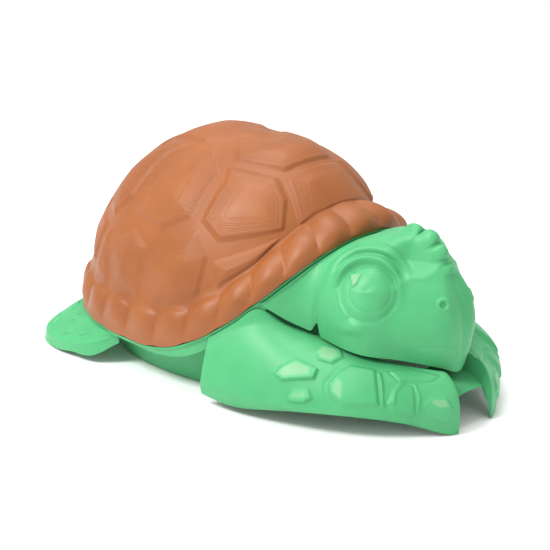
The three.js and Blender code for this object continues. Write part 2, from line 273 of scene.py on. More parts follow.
def ramp(nodes, links, value, stops):
    node = nodes.new("ShaderNodeValToRGB")
    while len(node.color_ramp.elements) < len(stops):
        node.color_ramp.elements.new(0.5)
    for element, (place, colour) in zip(node.color_ramp.elements, stops):
        element.position = place
        element.color = (*colour, 1)
    links.new(value, node.inputs["Fac"])
    return node.outputs["Color"]


def bump(nodes, links, height, strength, distance, below=None):
    node = nodes.new("ShaderNodeBump")
    node.inputs["Strength"].default_value = strength
    node.inputs["Distance"].default_value = distance
    links.new(height, node.inputs["Height"])
    if below is not None:
        links.new(below, node.inputs["Normal"])
    return node.outputs["Normal"]


def moulded_plastic(name, dark, base, light, top_mottle_and_painted_highlight, growth_lines=False):
    """Satin rotationally moulded plastic: soft mottling, a fine grain, slight waviness and a
    painted highlight where the mesh marks faces for it.
    """
    mat, nodes, links, bsdf = new_material(name)
    coords = nodes.new("ShaderNodeTexCoord").outputs["Object"]
    cloud = noise(nodes, links, coords, 7.0, 4.0, 0.6)
    # painted highlight: faces that the mesh marks are painted lighter, up to the last colour stop
    painted_highlight = nodes.new("ShaderNodeAttribute")
    painted_highlight.attribute_name = "painted_highlight"
    tone = nodes.new("ShaderNodeMath")
    tone.operation = "MULTIPLY_ADD"
    tone.inputs[1].default_value = 0.45
    links.new(painted_highlight.outputs["Fac"], tone.inputs[0])
    links.new(cloud, tone.inputs[2])
    stops = [(0.3, dark), (0.5, base), (0.7, light), (0.95, top_mottle_and_painted_highlight)]
    colour = ramp(nodes, links, tone.outputs["Value"], stops)
    speck = noise(nodes, links, coords, 420.0, 2.0)
    links.new(colour, bsdf.inputs["Base Color"])
    sheen = ramp(nodes, links, speck, [(0.2, grey(0.40)), (0.8, grey(0.52))])
    links.new(sheen, bsdf.inputs["Roughness"])
    grain = noise(nodes, links, coords, 900.0, 2.0)
    normal = bump(nodes, links, grain, 0.12, 0.0006)
    wave = noise(nodes, links, coords, 26.0, 2.0)
    normal = bump(nodes, links, wave, 0.16, 0.003, normal)
    if growth_lines:
        # fine rings that follow the outline of each scute and fade out towards its middle
        edge = nodes.new("ShaderNodeAttribute")
        edge.attribute_name = "edge_mm"
        rings = nodes.new("ShaderNodeMath")
        rings.operation = "PINGPONG"
        rings.inputs[1].default_value = 2.0
        links.new(edge.outputs["Fac"], rings.inputs[0])
        inside = nodes.new("ShaderNodeMapRange")
        inside.inputs["From Min"].default_value = 46
        inside.inputs["From Max"].default_value = 20
        links.new(edge.outputs["Fac"], inside.inputs["Value"])
        faded = nodes.new("ShaderNodeMath")
        faded.operation = "MULTIPLY"
        links.new(rings.outputs["Value"], faded.inputs[0])
        links.new(inside.outputs["Result"], faded.inputs[1])
        normal = bump(nodes, links, faded.outputs["Value"], 0.3, 0.0009, normal)
    links.new(normal, bsdf.inputs["Normal"])
    bsdf.inputs["Specular IOR Level"].default_value = 0.34
    bsdf.inputs["Subsurface Weight"].default_value = 0.06
    bsdf.inputs["Subsurface Radius"].default_value = (0.012, 0.010, 0.006)
    bsdf.inputs["Subsurface Scale"].default_value = 0.4
    return mat


def zinc_steel(name):
    """Zinc-plated steel: cool grey with fine brushing and a slightly uneven sheen."""
    mat, nodes, links, bsdf = new_material(name)
    coords = nodes.new("ShaderNodeTexCoord").outputs["Object"]
    stretch = nodes.new("ShaderNodeMapping")
    stretch.inputs["Scale"].default_value = (1.0, 1.0, 0.05)
    links.new(coords, stretch.inputs["Vector"])
    brushed = noise(nodes, links, stretch.outputs["Vector"], 2600.0, 3.0)
    colour = ramp(nodes, links, brushed, [(0.3, (0.52, 0.54, 0.57)), (0.7, (0.68, 0.69, 0.71))])
    links.new(colour, bsdf.inputs["Base Color"])
    sheen = ramp(nodes, links, brushed, [(0.2, grey(0.28)), (0.8, grey(0.44))])
    links.new(sheen, bsdf.inputs["Roughness"])
    links.new(bump(nodes, links, brushed, 0.1, 0.0002), bsdf.inputs["Normal"])
    bsdf.inputs["Metallic"].default_value = 1.0
    return mat


# the last green stop is the lighter colour of the painted highlight on marked faces
GREEN = moulded_plastic(
    "green_plastic", (0.046, 0.300, 0.112), (0.056, 0.325, 0.127), (0.068, 0.350, 0.142),
    (0.150, 0.362, 0.178),
)
BROWN = moulded_plastic(
    "brown_plastic", (0.218, 0.065, 0.014), (0.244, 0.074, 0.017), (0.270, 0.086, 0.022),
    (0.30, 0.10, 0.03), True,
)
STEEL = zinc_steel("screw_steel")


def dress(obj, material, body, node):
    """Gives a piece its material, ties it to its body and hides the CAD node it stands for."""
    obj.data.materials.clear()
    obj.data.materials.append(material)
    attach(obj, body)
    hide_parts(node)


# ---------------------------------------------------------------- cover
COVER_COLUMNS = 720
BAND_ROWS = 64
DOME_ROWS = 190
DOME_REACH = 520    # millimetres from the top to the band along the dome, about
LOBE_LENGTH = 102.8
SCUTE_HEIGHT = 6.2
SCUTE_STEPS = (17, 29, 42)    # steps inside a scute, measured in from its edge
STEP_HEIGHT = 0.6
SCUTE_SWELL = 3.0
GROUND_DEPTH = 6.0
NO_SCUTE = -1e3
SEAM_PASSES = 90

# Raised scutes in the unrolled dome: radius 1 at the band, 0 at the top, -y towards the head.
# Those that start with True are repeated on the +X side.
SCUTES = [
    (False, [(-0.155, -0.405), (0.155, -0.405), (0.205, -0.54), (0.31, -0.80),
             (0.22, -0.99), (-0.22, -0.99), (-0.31, -0.80), (-0.205, -0.54)]),
    (False, [(-0.12, -0.095), (0.12, -0.095), (0.19, -0.155), (0.115, -0.335),
             (-0.115, -0.335), (-0.19, -0.155)]),
    (False, [(-0.175, 0.015), (-0.11, -0.035), (0.11, -0.035), (0.175, 0.015),
             (0.13, 0.215), (-0.13, 0.215)]),
    (False, [(-0.13, 0.285), (0.13, 0.285), (0.20, 0.47), (0.13, 0.66), (-0.13, 0.66),
             (-0.20, 0.47)]),
    (False, [(-0.14, 0.73), (0.14, 0.73), (0.20, 0.86), (0.14, 0.975), (-0.14, 0.975),
             (-0.20, 0.86)]),
    (True, [(-0.366, 0.090), (-0.230, -0.030), (-0.303, -0.122), (-0.532, -0.125),
            (-0.612, -0.02), (-0.567, 0.135)]),
    (True, [(-0.255, -0.169), (-0.185, -0.36), (-0.25, -0.515), (-0.385, -0.665),
            (-0.559, -0.325), (-0.518, -0.207), (-0.322, -0.198)]),
    (True, [(-0.675, -0.370), (-0.46, -0.70), (-0.62, -0.66), (-0.783, -0.456)]),
    (True, [(-0.646, -0.102), (-0.589, -0.194), (-0.662, -0.297), (-0.840, -0.336),
            (-0.919, -0.222), (-0.949, -0.063), (-0.774, -0.005)]),
    (True, [(-0.664, 0.108), (-0.719, 0.035), (-0.965, 0.02), (-0.945, 0.235),
            (-0.738, 0.263)]),
    (True, [(-0.205, 0.09), (-0.30, 0.155), (-0.505, 0.215), (-0.56, 0.33), (-0.42, 0.47),
            (-0.26, 0.43), (-0.19, 0.28)]),
    (True, [(-0.645, 0.325), (-0.72, 0.33), (-0.915, 0.30), (-0.84, 0.50), (-0.745, 0.47)]),
    (True, [(-0.27, 0.50), (-0.43, 0.545), (-0.595, 0.40), (-0.72, 0.535), (-0.52, 0.68),
            (-0.24, 0.69), (-0.235, 0.58)]),
    (True, [(-0.78, 0.585), (-0.56, 0.735), (-0.26, 0.77), (-0.255, 0.94), (-0.52, 0.85)]),
]


def cover_surface(angle, v):
    """Plain outside of the cover: v runs up the rim band to BAND and on to 1 at the top."""
    front = np.maximum(0, np.cos(angle)) ** 2
    band_height = mix(88, 53, front)
    x0, y0 = outline(angle, 0)
    x1, y1 = outline(angle, mix(24, 92, front))
    z0 = rim_height(angle)
    a = np.clip(v / BAND, 0, 1) * PI / 2
    m = 1 - np.cos(a)
    band = np.stack([mix(x0, x1, m), mix(y0, y1, m), z0 + band_height * np.sin(a)], -1)
    a = np.clip((v - BAND) / (1 - BAND), 0, 1) * PI / 2
    s = np.maximum(0, np.cos(a)) ** mix(0.94, 0.5, front)
    s = np.where(v >= 1, 0, s)
    h = np.sin(a) ** mix(1.18, 2.07, front)
    top = z0 + band_height
    dome = np.stack([x1 * s, mix(DOME_TOP_Y, y1, s), mix(top, DOME_TOP_Z, h)], -1)
    return np.where((v <= BAND)[..., None], band, dome)


def scute_edge(angle, v):
    """Distance in from the nearest scute's edge in millimetres, negative between scutes."""
    rho = np.clip(1 - (v - BAND) / (1 - BAND), 0, 1)
    sx, sy = rho * np.sin(angle), -rho * np.cos(angle)
    edge = np.full(v.shape, NO_SCUTE)
    for mirrored, corners in SCUTES:
        for side in ((1, -1) if mirrored else (1,)):
            edge = np.maximum(edge, polygon_distance(side * sx, sy, corners) * DOME_REACH)
    return np.where(v > BAND, edge, NO_SCUTE)


def scute_relief(edge, v):
    """Height of the scutes over the plain dome."""
    high = SCUTE_HEIGHT * smooth(-10, 8, edge)
    for place in SCUTE_STEPS:
        high += STEP_HEIGHT * smooth(place, place + 5, edge)
    # a faint swell of each scute towards its middle
    high += SCUTE_SWELL * smooth(0, 70, edge)
    high *= smooth(BAND, BAND + 0.07, v)
    # the plain surface is the CAD's, so the ground between the scutes lies below it
    high -= GROUND_DEPTH * smooth(BAND, BAND + 0.08, v)
    return high


def lobe_phase(angle):
    """Counts the rim lobes, evenly along the rim's real length."""
    ring = cover_surface(angle[:1], np.zeros_like(angle[:1]))[0]
    step = np.linalg.norm(np.roll(ring, -1, 0) - ring, axis=1)
    along = np.concatenate([[0], np.cumsum(step)[:-1]])
    lobes = round(step.sum() / LOBE_LENGTH)
    return along / step.sum() * lobes


def build_cover():
    angle = np.linspace(0, 2 * PI, COVER_COLUMNS, endpoint=False)[None, :]
    v = np.concatenate([
        np.linspace(0, BAND, BAND_ROWS, endpoint=False),
        mix(BAND, 1, np.linspace(0, 1, DOME_ROWS)),
    ])[:, None]
    angle, v = np.broadcast_arrays(angle, v)
    base = cover_surface(angle, v)
    n = grid_normals(base, closed=True)
    n[-1] = (0, 0, 1)
    edge = scute_edge(angle, v)
    high = scute_relief(edge, v)

    phase = lobe_phase(angle)
    pillow = np.abs(np.cos(PI * phase)) ** 0.75
    lean = 0.5 + 0.5 * np.cos(2 * PI * (phase - 0.12))
    w = v / (BAND * (0.98 + 0.16 * pillow))
    roll = smooth(-0.02, 0.35, w) * (1 - smooth(0.72, 1.04, w))
    high += roll * (10.5 * pillow + 2.5 * lean - 6.0)
    moved = base + n * high[..., None]
    # the band runs into the dome in a soft hollow, wider over the neck
    rows = np.arange(len(v))
    seam_reach = 9 + 7 * np.maximum(0, np.cos(angle[0]))
    near_seam = hump(rows[:, None], BAND_ROWS, seam_reach)[1:-1, :, None]
    for _ in range(SEAM_PASSES):
        middle = (moved[:-2] + moved[2:]) / 2
        moved[1:-1] += (middle - moved[1:-1]) * 0.9 * near_seam
    # scalloped lower edge: it lifts a little between two lobes
    moved[..., 2] += 3.5 * (1 - pillow) * (1 - smooth(0, 0.35, v / BAND))

    inner = moved - n * WALL
    inner[0, :, 2] = moved[0, :, 2]
    inner[1:, :, 2] = np.maximum(inner[1:, :, 2], inner[0, :, 2])
    tag = ("edge_mm", np.clip(edge, -8, 60))
    obj = shell("cover_shell", moved, inner, closed=True, pole=True, tag=tag)
    soft_edge(obj, EDGE_BEVEL)
    dress(obj, BROWN, "cover", "cover")


# ---------------------------------------------------------------- tub
# Section through the tub's wall as (half width, what the height is measured from, height): from
# the middle of the basin up, over the lip and the flange, round the skirt and back underneath.
TUB_SECTION = [
    (0, "ground", 4), (60, "ground", 4), (160, "ground", 4), (240, "ground", 4),
    (276, "ground", 4), (286, "ground", 6), (291, "ground", 11), (296, "ground", 24),
    (306, "rim", 1), (309, "rim", 5), (312, "rim", 6), (360, "rim", 6), (363, "rim", 5.5),
    (365, "rim", 3.5), (365, "rim", -0.6), (377, "rim", -0.6), (378.4, "rim", -2),
    (378.4, "rim", -4), (377, "rim", -5.4), (372, "rim", -7), (372, "skirt", 1),
    (371, "skirt", 0), (369, "skirt", 0), (368, "skirt", 1), (368, "rim", -9),
    (361, "rim", -5), (359, "rim", 2), (323, "rim", 2), (320.5, "rim", 0),
    (296, "ground", 8), (292, "ground", 2), (286, "ground", 0), (0, "ground", 0),
]


def build_tub():
    facets = 288
    angle = np.linspace(0, 2 * PI, facets, endpoint=False)
    rim = rim_height(angle)
    start = {"ground": np.zeros(facets), "rim": rim, "skirt": rim - skirt_drop(angle)}
    rings = []
    for half_width, origin, height in TUB_SECTION:
        if half_width == 0:
            rings.append(np.tile([0.0, RIM_CENTRE_Y, float(height)], (facets, 1)))
            continue
        x, y = outline(angle, RIM_HALF_WIDTH - half_width)
        rings.append(np.stack([x, y, start[origin] + height], -1))
    grid = np.stack(rings)
    rows = len(grid)
    verts = (grid.reshape(-1, 3) * MM).tolist()
    faces = [
        [j * facets + i, j * facets + (i + 1) % facets,
         (j + 1) * facets + (i + 1) % facets, (j + 1) * facets + i]
        for j in range(rows - 1) for i in range(facets)
    ]
    mesh = bpy.data.meshes.new("tub_raw")
    mesh.from_pydata(verts, [], faces)
    bm = bmesh.new()
    bm.from_mesh(mesh)
    bpy.data.meshes.remove(mesh)
    bmesh.ops.remove_doubles(bm, verts=bm.verts, dist=0.00002)
    obj = finish_mesh("tub_shell", bm, 48)
    soft_edge(obj, FINE_BEVEL)
    dress(obj, GREEN, "base", "tub")


# ---------------------------------------------------------------- fixing tabs
RING = 48            # facets round the CAD's skirt
TAB_THICK = 0.0075
TAB_WIDE = 0.023
TAB_OUT = 0.0048     # middle of a tab, out from the skirt


def on_skirt(facet, below):
    """Frame on the outside of a skirt facet in metres: X outward, Y along the rim, Z up."""
    a = rim_point(360 * facet / RING, SKIRT_INSET, -below)
    b = rim_point(360 * (facet + 1) / RING, SKIRT_INSET, -below)
    heading = math.atan2(b[1] - a[1], b[0] - a[0]) - PI / 2
    x, y, z = (a + b) / 2 * MM
    place = Matrix.Translation((x, y, z)) @ Matrix.Rotation(heading, 4, "Z")
    slope = (b[2] - a[2]) / math.hypot(b[0] - a[0], b[1] - a[1])
    shear = Matrix(((1, 0, 0, 0), (0, 1, 0, 0), (0, slope, 1, 0), (0, 0, 0, 1)))
    return place @ shear


def tabs(facets_below, height=0.020):
    """Tabs behind a moulding's edge, standing on the skirt with a hair of clearance."""
    out = Matrix.Translation((TAB_OUT, 0, 0))
    return [
        ((TAB_THICK, TAB_WIDE, height), on_skirt(facet, below) @ out)
        for facet, below in facets_below
    ]


def other_side(pairs):
    return [(RING - 1 - facet, below) for facet, below in pairs]


def both_sides(pairs):
    return pairs + other_side(pairs)


# ---------------------------------------------------------------- front apron
# Top edge of the left half, from its rear corner to the flipper's tip beside the middle gap
UNDER_COWL = 4.2
HALF_GAP = 59
APRON_TOP = [
    rim_point(61.5, UNDER_COWL, -10), rim_point(52, UNDER_COWL, -12),
    rim_point(43, UNDER_COWL, -18),
    (214, -200, 202), (172, -270, 180), (160, -370, 168), (130, -425, 154), (92, -478, 142),
    (HALF_GAP, -548, 141),
]
# Lower edge, seen from above: a superellipse
APRON_HALF_WIDTH = 356
APRON_HALF_LENGTH = 506.4
APRON_CENTRE_Y = -92
APRON_POWER = 1.7
LEDGE_REACH = 38
LEDGE_FALL = 12
LEDGE_ROWS = 16
# Bridge between the two tips, in the gap under the chin
BRIDGE_HALF = 57
BRIDGE_FOOT_Y, BRIDGE_TOP_Y = -582, -462
BRIDGE_FOOT_Z, BRIDGE_TOP_Z = 75, 108
BRIDGE_ARCH = 8
BRIDGE_COLUMNS = 41
WEB_COLUMNS = 5


def apron_side(t, v):
    """Outside of the apron's left half: t from the rear corner to the tip, v from foot to top."""
    push = 12 * smooth(0.78, 1, t) * (1 - 0.6 * v)
    upright = 0.7 * smooth(0.78, 0.92, t)
    a = t * math.acos((HALF_GAP / APRON_HALF_WIDTH) ** (APRON_POWER / 2))
    rear = np.clip(1 - t / 0.11, 0, 1) ** 2
    gx = APRON_HALF_WIDTH * np.cos(a) ** (2 / APRON_POWER) + 6 * rear
    gy = APRON_CENTRE_Y - APRON_HALF_LENGTH * np.sin(a) ** (2 / APRON_POWER) + 32 * rear
    gz = 50 * np.sin(PI * np.clip((t - 0.06) / 0.9, 0, 1)) + 26 * rear**1.5
    top = through(APRON_TOP, t)
    dx, dy = gx - top[..., 0], gy - top[..., 1]
    reach = np.hypot(dx, dy)
    dx, dy = dx / reach, dy / reach
    bulge = 12 + 24 * np.abs(np.sin(PI * t)) ** 0.8 * (1 - 0.3 * t)
    waist = np.maximum(62, gz + 12)
    low = 0.3
    a = np.clip(v / low, 0, 1) * PI / 2
    out = bulge * mix(np.sin(a), 1, upright)
    skirt = np.stack([
        gx + dx * out, gy + dy * out - push, mix(gz, waist, 1 - np.cos(a)),
    ], -1)
    climb = np.clip((v - low) / (1 - low), 0, 1)
    a = climb * PI / 2
    straight = 0.8 * (1 - smooth(0.12, 0.5, t))
    c = mix(np.abs(np.cos(a)) ** 1.1, 1 - climb, straight)
    k = mix(np.sin(a) ** 1.1, climb, straight)
    crown = np.stack([
        mix(top[..., 0], gx + dx * bulge, c), mix(top[..., 1], gy + dy * bulge, c) - push,
        mix(waist, top[..., 2], k),
    ], -1)
    return np.where((v < low)[..., None], skirt, crown)


# Raised scales of the front flippers: outline as corners (t, v) on the apron's side, height at
# the top edge and at the low edge, width of the bevel.
SCALES = [
    ([(0.299, 0.515), (0.331, 0.593), (0.391, 0.683), (0.466, 0.645), (0.448, 0.569),
      (0.333, 0.495)], 2.0, 14.0, 6),
    ([(0.459, 0.774), (0.494, 0.872), (0.56, 0.898), (0.564, 0.812), (0.52, 0.719),
      (0.47, 0.717)], 2.0, 9.0, 5),
    ([(0.345, 0.389), (0.365, 0.449), (0.424, 0.487), (0.436, 0.419), (0.408, 0.373),
      (0.352, 0.349)], 2.0, 11.0, 5),
    ([(0.50, 0.553), (0.545, 0.671), (0.588, 0.752), (0.68, 0.765), (0.665, 0.425),
      (0.545, 0.399), (0.501, 0.477)], 4.0, 11.0, 12),
    ([(0.70, 0.441), (0.718, 0.521), (0.763, 0.653), (0.815, 0.637), (0.795, 0.281),
      (0.716, 0.351)], 3.0, 8.0, 8),
    ([(0.841, 0.439), (0.875, 0.519), (0.94, 0.507), (0.96, 0.333), (0.927, 0.22),
      (0.865, 0.246)], 2.0, 10.0, 6),
    ([(0.751, 0.788), (0.859, 0.906), (0.955, 0.814), (0.909, 0.729), (0.772, 0.691)],
     3.5, 4.5, 6),
]
# Ridges between them: points (t, v), height and width
RIDGES = [
    ([(0.693, 0.73), (0.690, 0.62), (0.682, 0.425)], 5.5, 4.5),
    ([(0.829, 0.649), (0.828, 0.52), (0.812, 0.367)], 4.5, 4.0),
    ([(0.775, 0.655), (0.735, 0.57), (0.722, 0.45)], 3.5, 4.5),
]


def flat_frame(points):
    """Centre and two axes of the plane through a few points: level and up the slope."""
    points = np.asarray(points, float)
    centre = points.mean(0)
    normal = np.linalg.svd(points - centre)[2][2]
    if normal[2] < 0:
        normal = -normal
    level = unit(np.cross([0, 0, 1.0], normal))
    return centre, level, np.cross(normal, level)


def on_patch(surface, base, corners, reach):
    """Distance to an outline on a surface, for the grid points of base within reach of it.

    Returns which points those are, their places and the outline's along the level and up the
    slope, and the signed distance, positive inside.
    """
    t, v = np.array(corners).T
    points = surface(t, v)
    centre, level, up = flat_frame(points)
    near = np.linalg.norm(base - centre, axis=2) < reach
    away, ring = base[near] - centre, points - centre
    x, y, ring_x, ring_y = away @ level, away @ up, ring @ level, ring @ up
    return near, (x, y), (ring_x, ring_y), polygon_distance(x, y, list(zip(ring_x, ring_y)))


def scale_relief(surface, base, scales, ridges):
    """Height of scales and ridges over a plain surface. A scale leans out towards its low edge."""
    high = np.zeros(base.shape[:2])
    for corners, upper, lower, bevel in scales:
        near, (x, y), (px, py), d = on_patch(surface, base, corners, 150)
        down = np.clip((py.max() - y) / np.ptp(py), 0, 1)
        ahead = np.clip((px.max() - x) / np.ptp(px), 0, 1)
        plate = 0.8 * mix(upper, lower, 0.6 * down + 0.4 * ahead)
        plate = plate * smooth(-bevel * 0.5, bevel * 0.5, d)
        moat = -1.2 * hump(d, -bevel * 0.75, bevel * 0.45)
        high[near] = np.maximum(high[near], plate) + moat
    for line, height, width in ridges:
        t, v = np.array(line).T
        points = surface(t, v)
        near = np.linalg.norm(base - points.mean(0), axis=2) < 120
        best = np.full(near.sum(), FAR)
        where = base[near]
        for a, b in zip(points, points[1:]):
            along = b - a
            w = np.clip(((where - a) @ along) / (along @ along), 0, 1)[:, None]
            best = np.minimum(best, np.linalg.norm(where - a - w * along, axis=1))
        high[near] += height * hump(best, 0, width)
    return high


# Faces of those scales with a painted highlight: a lighter colour stands for light on their tilted
# faces
PAINTED_HIGHLIGHT_FACES = [
    [(0.303, 0.522), (0.333, 0.593), (0.391, 0.676), (0.445, 0.648), (0.440, 0.580),
     (0.335, 0.507)],
    [(0.463, 0.774), (0.494, 0.862), (0.548, 0.882), (0.556, 0.812), (0.52, 0.73),
     (0.474, 0.727)],
    [(0.349, 0.396), (0.367, 0.447), (0.418, 0.477), (0.430, 0.421), (0.405, 0.380),
     (0.355, 0.357)],
    [(0.505, 0.553), (0.532, 0.635), (0.556, 0.60), (0.550, 0.47), (0.535, 0.425),
     (0.505, 0.485)],
    [(0.858, 0.45), (0.882, 0.508), (0.938, 0.497), (0.952, 0.365), (0.900, 0.355)],
]


def painted_highlight_faces(surface, base, faces):
    """1 where a face gets a painted highlight, 0 elsewhere."""
    painted_highlight = np.zeros(base.shape[:2])
    for corners in faces:
        near, _, _, d = on_patch(surface, base, corners, 120)
        painted_highlight[near] = np.maximum(painted_highlight[near], smooth(0, 10, d))
    return painted_highlight


def top_edge_inward(t):
    """Level direction in under the chin, fading out towards the rear."""
    edge = through(APRON_TOP, t)
    foot = apron_side(t, np.zeros_like(t))
    away = (edge - foot) * [1, 1, 0]
    return unit(away) * smooth(0.35, 0.5, t)[:, None]


def ease_along(p, reach, passes):
    """Evens out a grid along its rows where reach is above 0, with the ends held."""
    p = p.copy()
    for _ in range(passes):
        p[:, 1:-1] += ((p[:, :-2] + p[:, 2:]) / 2 - p[:, 1:-1]) * reach[:, 1:-1, None]
    return p


def web_between(a, b):
    """Columns that join two edge columns, without the two themselves."""
    w = np.linspace(0, 1, WEB_COLUMNS)[None, 1:-1, None]
    return a[:, None] * (1 - w) + b[:, None] * w


def across_bridge(half, bridge):
    """Left half, bridge and right half of the apron as one grid, joined by narrow webs."""
    other = half[:, ::-1] * MIRROR
    return np.concatenate([
        half, web_between(half[:, -1], bridge[:, 0]), bridge,
        web_between(bridge[:, -1], other[:, 0]), other,
    ], 1)


def build_apron():
    columns, rows = 330, 150
    t = np.linspace(0, 1, columns)[None, :]
    v = np.linspace(0, 1, rows)[:, None]
    t, v = np.broadcast_arrays(t, v)
    side = apron_side(t, v)
    flat_part = (1 - smooth(0.42, 0.55, t)) * (1 - smooth(0.9, 1, v)) * 0.95
    side = ease_along(side, flat_part, 900)
    painted_highlight_half = painted_highlight_faces(apron_side, side, PAINTED_HIGHLIGHT_FACES)
    n = grid_normals(side)
    high = scale_relief(apron_side, side, SCALES, RIDGES)
    fade = smooth(0, 0.03, v) * (1 - smooth(0.97, 1, v)) * (1 - smooth(0.965, 1, t))
    fade = fade * (1 - 0.3 * smooth(0.7, 0.85, t))
    outer = side + n * (high * fade)[..., None]
    # ledge that runs in under the chin and closes the gap there
    w = np.linspace(0, 1, LEDGE_ROWS + 1)[1:, None, None]
    fall = np.array([0, 0, LEDGE_FALL]) * w * smooth(0.35, 0.5, t[0])[:, None]
    ledge = side[-1] + top_edge_inward(t[0]) * LEDGE_REACH * w - fall
    outer = np.concatenate([outer, ledge])
    side = np.concatenate([side, ledge])
    x = np.linspace(BRIDGE_HALF, -BRIDGE_HALF, BRIDGE_COLUMNS)[None, :]
    climb = np.concatenate([v[:, 0], np.ones(LEDGE_ROWS)])[:, None]
    x, climb = np.broadcast_arrays(x, climb)
    foot = BRIDGE_FOOT_Z + BRIDGE_ARCH * (1 - (x / HALF_GAP) ** 2)
    bridge = np.stack([
        x, mix(BRIDGE_FOOT_Y, BRIDGE_TOP_Y, climb**1.5),
        mix(foot, BRIDGE_TOP_Z, np.sin(climb * PI / 2)),
    ], -1)
    grid = across_bridge(outer, bridge)
    back = grid - grid_normals(across_bridge(side, bridge)) * WALL
    # painted highlight on the scale faces, mirrored to the right half
    painted_highlight = np.zeros(grid.shape[:2])
    painted_highlight[:rows, :columns] = painted_highlight_half
    painted_highlight[:, -columns:] = painted_highlight[:, columns - 1::-1]
    screwed = tabs(both_sides([(6, 28), (7, 28)]))
    obj = shell("front_apron_shell", grid, back, tag=("painted_highlight", painted_highlight), extra=screwed)
    soft_edge(obj, EDGE_BEVEL)
    dress(obj, GREEN, "base", "front_apron")


# ---------------------------------------------------------------- head
# Low edge of the left half and the ridge over it, both from the chin to the cowl's rear
HEAD_EDGE = [
    (0, -550, 123), (47, -532, 140), (116, -466, 160), (172, -420, 172), (192, -372, 179),
    (188, -304, 183), (188, -262, 190), (200, -232, 196), (232, -204, 226), (262, -158, 262),
]
HEAD_RIDGE = [
    (0, -446, 430), (0, -440, 432), (0, -425, 434), (0, -405, 433), (0, -385, 430),
    (0, -345, 422), (0, -310, 412), (0, -285, 402), (0, -268, 394), (0, -252, 386),
]


HEAD_UNIT = 420    # millimetres on the head for t or v from 0 to 1, about
NOTCH = 0.632      # t of the notch between the cheek and the cowl
NOTCH_LIFT = 26
NOSTRIL = (0.111, 0.372)
# Brow edge as (t, v), from the middle to the eye's front corner
BROW = [(0.0, 0.64), (0.10, 0.60), (0.165, 0.52), (0.205, 0.50), (0.245, 0.41)]
# Mouth line in millimetres along t and v
LIP = [(0, 60), (26, 59), (71, 42)]
# Crest of rounded scales in the middle plane as (y, z, reach, height)
CREST = [(-402, 434, 25, 18), (-452, 428, 21, 16), (-490, 404, 17, 12), (-520, 372, 14, 9)]

# The eye is drawn in the plane through the middle of its ring, seen along its own axis
EYE_CENTRE = np.array([153.0, -390.0, 318.0])
EYE_AXIS = unit(np.array([0.76, -0.56, 0.36]))
EYE_REACH = 150
GLINT = [(-40, 40), (-10, 44), (-20, 16), (-29, 10)]
EYE_CREASE = [(-66, 0), (-58, -30), (-40, -56)]


def head_surface(t, v):
    """Plain outside of the head's left half: t from chin to cowl, v from low edge to ridge."""
    edge = through(HEAD_EDGE, t, True)
    ridge = through(HEAD_RIDGE, t, True)
    a = v * PI / 2
    full = mix(1, 0.86, smooth(0.1, 0.4, t))
    c, k = np.maximum(0, np.cos(a)) ** full, np.sin(a) ** full
    c = np.where(v >= 1, 0, c)
    reach = np.hypot(edge[..., 0], edge[..., 1] - ridge[..., 1])
    jowl = 14 + 17 * smooth(-0.05, 0.11, t) * (1 - smooth(0.11, 0.32, t))
    cheek = jowl * np.sin(PI * np.clip(v * 1.6, 0, 1)) * (1 - smooth(0.55, 0.75, t))
    x = edge[..., 0] * c + cheek * edge[..., 0] / reach
    y = mix(ridge[..., 1], edge[..., 1], c) + cheek * (edge[..., 1] - ridge[..., 1]) / reach
    z = mix(edge[..., 2], ridge[..., 2], k)
    cowl = smooth(0.58, 1, t)
    rear = rim_point(42 * (1 - v), SKIRT_INSET - 4, -13)
    # the face is drawn in round the eyes
    tuck = 24 * smooth(0.08, 0.26, t) * (1 - smooth(0.42, 0.62, t))
    tuck = tuck * smooth(0.10, 0.35, v) * (1 - smooth(0.62, 0.92, v))
    here = np.stack([x, y, z], -1) + tuck[..., None] * np.array([-0.66, 0.66, -0.34])
    return mix(here, rear, cowl[..., None])


def eye_relief(p, n):
    """Height of the eye over the plain head on the +X side.

    Also returns the distance from the eye's middle, and how far a point is on the glint, which the
    material paints lighter as a painted highlight.
    """
    across = unit(np.cross([0, 0, 1.0], EYE_AXIS))
    up = np.cross(EYE_AXIS, across)
    away = p - EYE_CENTRE
    near = (n @ EYE_AXIS > -0.1) & (np.linalg.norm(away, axis=2) < EYE_REACH)
    a, b = -(away @ across), away @ up
    r = np.hypot((a - 4) / 1.02, b)
    rise = np.sin(np.arctan2(b, a))
    above = smooth(-0.15, 0.9, rise)
    ball = np.hypot(a - 6, b + 1)
    high = -6.0 * smooth(78, 62, r) * (0.25 + 0.75 * above)
    high += 12.0 * np.clip(1 - (ball / 66) ** 2, 0, 1) ** 0.7
    # ring, and the folds over it
    high += hump(r, 77, 7) * (8.0 * above + 0.8)
    high += 3.0 * smooth(69, 73, r) * smooth(95, 80, r) * above
    high += -3.0 * hump(r, 93, 4.0) * smooth(0.2, 0.8, rise)
    high += 5.0 * hump(r, 104, 7) * smooth(0.25, 0.85, rise)
    high += -2.5 * hump(r, 116, 4) * smooth(0.35, 0.85, rise)
    # iris edge and the moulded glint at the upper rear of the ball
    high += -0.9 * hump(np.hypot(a - 10, b - 2), 48, 3.4) * smooth(74, 60, r)
    glint = polygon_distance(a, b, GLINT)
    high += 4.2 * smooth(-3.5, 4, glint)
    # crease from the ball's rear side and the pad under the eye
    high += 3.5 * hump(line_distance(a, b, EYE_CREASE), 0, 5)
    high += 7.0 * np.exp(-(((a + 22) / 34) ** 2 + ((b + 84) / 14) ** 2))
    return high * near, np.hypot(a, b), near * smooth(-2, 3, glint)


